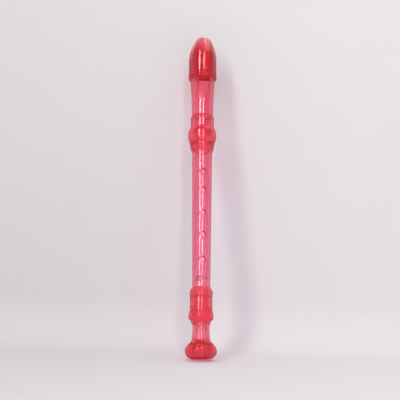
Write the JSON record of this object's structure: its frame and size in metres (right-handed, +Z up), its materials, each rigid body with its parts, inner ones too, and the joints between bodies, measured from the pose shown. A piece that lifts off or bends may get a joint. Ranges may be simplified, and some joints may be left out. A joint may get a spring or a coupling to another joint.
{
  "type": "soprano recorder",
  "caption": "End-blown fipple flute in clear tinted plastic: beak with windway and window, tube with finger and thumb holes, and a bell foot, in joints that slide and turn on tenons.",
  "frame": {"origin": "centre of the foot's open end, on the surface that the recorder stands on", "axes": "+Z up the bore from the foot to the beak, -Y is the side of the finger holes, +X to their right"},
  "size_m": [0.031, 0.031, 0.3304],
  "materials": {
    "tinted_plastic": "clear pink injection-moulded plastic with a glossy polished surface; thick places look deep red"
  },
  "bodies": {
    "middle": {"middle_pipe": "tinted_plastic"},
    "head": {"head_pipe": "tinted_plastic", "beak_cap": "tinted_plastic", "block": "tinted_plastic"},
    "foot": {"foot_pipe": "tinted_plastic"}
  },
  "joints": [
    {"name": "head_pull", "type": "slide", "parent": "middle", "child": "head", "axis": [0, 0, 1], "range_m": [0, 0.0155]},
    {"name": "foot_turn", "type": "hinge", "parent": "middle", "child": "foot", "pos_m": [0, 0, 0.058], "axis": [0, 0, 1], "continuous": true}
  ]
}
